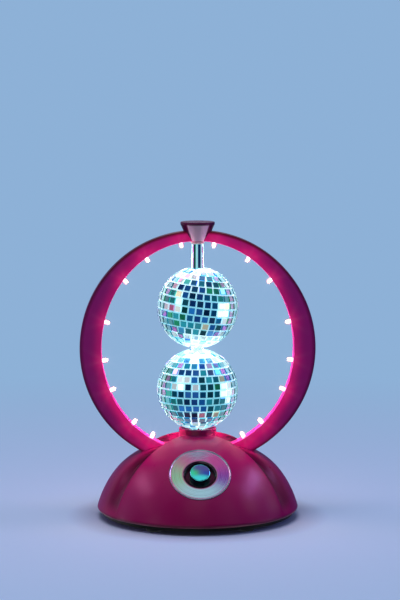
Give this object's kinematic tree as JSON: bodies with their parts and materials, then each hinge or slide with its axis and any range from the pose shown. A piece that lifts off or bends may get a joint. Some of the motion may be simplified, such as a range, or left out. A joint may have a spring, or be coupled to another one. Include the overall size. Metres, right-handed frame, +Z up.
{
  "type": "mirror ball table lamp",
  "caption": "Table lamp with two mirror-tile balls on one driven spindle inside an upright ring of lights, on a fluted dome base with a push button.",
  "frame": {"origin": "on the table, under the spindle's axis, in the middle of the part's box", "axes": "+Z up along the spindle, -Y to the front where the button is, +X to the right seen from the front"},
  "size_m": [0.221, 0.1888, 0.278],
  "materials": {
    "magenta_plastic": "glossy magenta, moulded",
    "black_plastic": "black, fine satin",
    "rubber": "matt black",
    "steel": "plain",
    "led_lens": "clear, lit white",
    "wire": "bare wire",
    "grey_plastic": "light grey",
    "spun_plate": "spun, bright",
    "bright_metal": "polished",
    "gear_plastic": "natural",
    "motor_can": "plain",
    "ball_core": "white, with grout",
    "mirror_tile": "silvered glass",
    "board": "green laminate",
    "cell": "plain dark sleeve",
    "contact": "plated"
  },
  "bodies": {
    "lamp": {"base_shell": "magenta_plastic", "base_plate": "black_plastic", "rubber_feet": "rubber", "base_screws": "steel", "ring_front": "magenta_plastic", "ring_rear": "magenta_plastic", "ring_screws": "steel", "leg_screws": "steel", "leds": "led_lens", "led_wiring": "wire", "finial": "magenta_plastic", "finial_screw": "steel", "top_bush": "grey_plastic", "collar_bush": "grey_plastic", "front_plate": "spun_plate", "button_bezel": "black_plastic", "switch_body": "black_plastic", "gear_frame": "gear_plastic", "gear_lid": "gear_plastic", "gear_screws": "steel", "motor": "motor_can", "idler_pin": "steel", "circuit_board": "board", "batteries": "cell", "battery_contacts": "contact"},
    "rotor": {"spindle": "steel", "spindle_gear": "gear_plastic", "lower_sleeve": "bright_metal", "lower_ball": "ball_core", "lower_tiles": "mirror_tile", "neck_spacer": "ball_core", "upper_ball": "ball_core", "upper_tiles": "mirror_tile", "upper_sleeve": "bright_metal"},
    "idler": {"idler_gear": "gear_plastic"},
    "pinion": {"motor_pinion": "gear_plastic"},
    "button": {"push_button": "bright_metal"},
    "door": {"battery_door": "black_plastic"}
  },
  "joints": [
    {"name": "ball_spin", "type": "hinge", "parent": "lamp", "child": "rotor", "pos_m": [0, 0, 0.1], "axis": [0, 0, 1], "continuous": true},
    {"name": "idler_spin", "type": "hinge", "parent": "lamp", "child": "idler", "pos_m": [0.0194, 0.0112, 0.03], "axis": [0, 0, 1], "continuous": true},
    {"name": "motor_spin", "type": "hinge", "parent": "lamp", "child": "pinion", "pos_m": [0.0194, 0.0336, 0.04], "axis": [0, 0, 1], "continuous": true},
    {"name": "button_press", "type": "slide", "parent": "lamp", "child": "button", "axis": [0, 0.6756, -0.7373], "range_m": [0, 0.003], "stiffness_N_per_m": 400, "springref_m": -0.002},
    {"name": "door_slide", "type": "slide", "parent": "lamp", "child": "door", "axis": [0, 1, 0], "range_m": [0, 0.045]}
  ],
  "couplings": [
    {"joint": "idler_spin", "follows": "ball_spin", "ratio": -3},
    {"joint": "motor_spin", "follows": "ball_spin", "ratio": 9}
  ]
}
